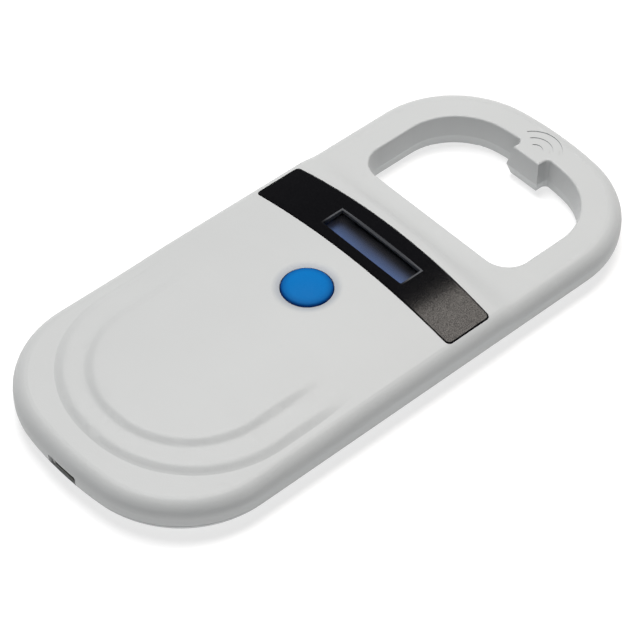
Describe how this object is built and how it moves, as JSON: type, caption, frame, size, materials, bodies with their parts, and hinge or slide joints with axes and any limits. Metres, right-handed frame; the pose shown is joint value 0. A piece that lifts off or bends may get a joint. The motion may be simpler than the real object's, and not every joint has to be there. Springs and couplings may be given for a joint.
{
  "type": "microchip scanner",
  "caption": "Flat hand-held pet microchip reader with a hand loop that holds the antenna, a crowned black display strip, a round scan button and a USB charging socket.",
  "frame": {"origin": "under the middle of the case, on the plane of its flat back", "axes": "+Z out through the display, +Y towards the hand loop, +X to the right seen from above"},
  "size_m": [0.061, 0.135, 0.0114],
  "materials": {
    "shell_white": "satin",
    "strip_black": "gloss",
    "pane_clear": "clear",
    "screen_dark": "gloss",
    "button_blue": "satin",
    "glue_grey": "tacky",
    "holder_black": "moulded",
    "flex_amber": "film",
    "switch_black": "moulded",
    "spring_steel": "bright",
    "tinned_steel": "satin",
    "board_green": "solder mask",
    "chip_black": "moulded",
    "ceramic_tan": "fired",
    "resistor_black": "coated",
    "ferrite_grey": "pressed",
    "contact_gold": "plated",
    "cell_foil": "satin foil",
    "tape_white": "foam",
    "tape_amber": "film",
    "lead_red": "insulation",
    "lead_black": "insulation",
    "connector_ivory": "moulded",
    "coil_copper": "enamelled copper",
    "screw_steel": "zinc plated",
    "label_silver": "printed film"
  },
  "bodies": {
    "case": {"top_shell": "shell_white", "bottom_shell": "shell_white", "display_bezel": "strip_black", "bezel_glue": "glue_grey", "display_pane": "pane_clear", "screen_glass": "screen_dark", "screen_holder": "holder_black", "screen_flex": "flex_amber", "switch_housing": "switch_black", "switch_cover": "tinned_steel", "switch_dome": "spring_steel", "main_board": "board_green", "microcontroller": "chip_black", "reader_chip": "chip_black", "memory_chip": "chip_black", "charger_chip": "chip_black", "crystal": "tinned_steel", "tuning_capacitors": "ceramic_tan", "small_capacitors": "ceramic_tan", "small_resistors": "resistor_black", "power_inductor": "ferrite_grey", "buzzer": "holder_black", "usb_shell": "tinned_steel", "usb_tongue": "switch_black", "usb_contacts": "contact_gold", "battery_cell": "cell_foil", "battery_tape": "tape_white", "battery_guard_board": "board_green", "battery_socket": "connector_ivory", "battery_plug": "connector_ivory", "battery_lead_positive": "lead_red", "battery_lead_negative": "lead_black", "antenna_coil": "coil_copper", "coil_ties": "tape_amber", "antenna_lead_start": "coil_copper", "antenna_lead_end": "coil_copper", "case_screws": "screw_steel", "board_screws": "screw_steel", "rear_label": "label_silver"},
    "button": {"scan_button": "button_blue"},
    "plunger": {"switch_plunger": "switch_black"}
  },
  "joints": [
    {"name": "button_press", "type": "slide", "parent": "case", "child": "button", "axis": [0, 0, -1], "range_m": [0, 0.00035], "stiffness_N_per_m": 2000},
    {"name": "plunger_press", "type": "slide", "parent": "case", "child": "plunger", "axis": [0, 0, -1], "range_m": [0, 0.00035], "deforming": ["switch_dome"]}
  ],
  "couplings": [
    {"joint": "plunger_press", "follows": "button_press", "ratio": 1}
  ]
}
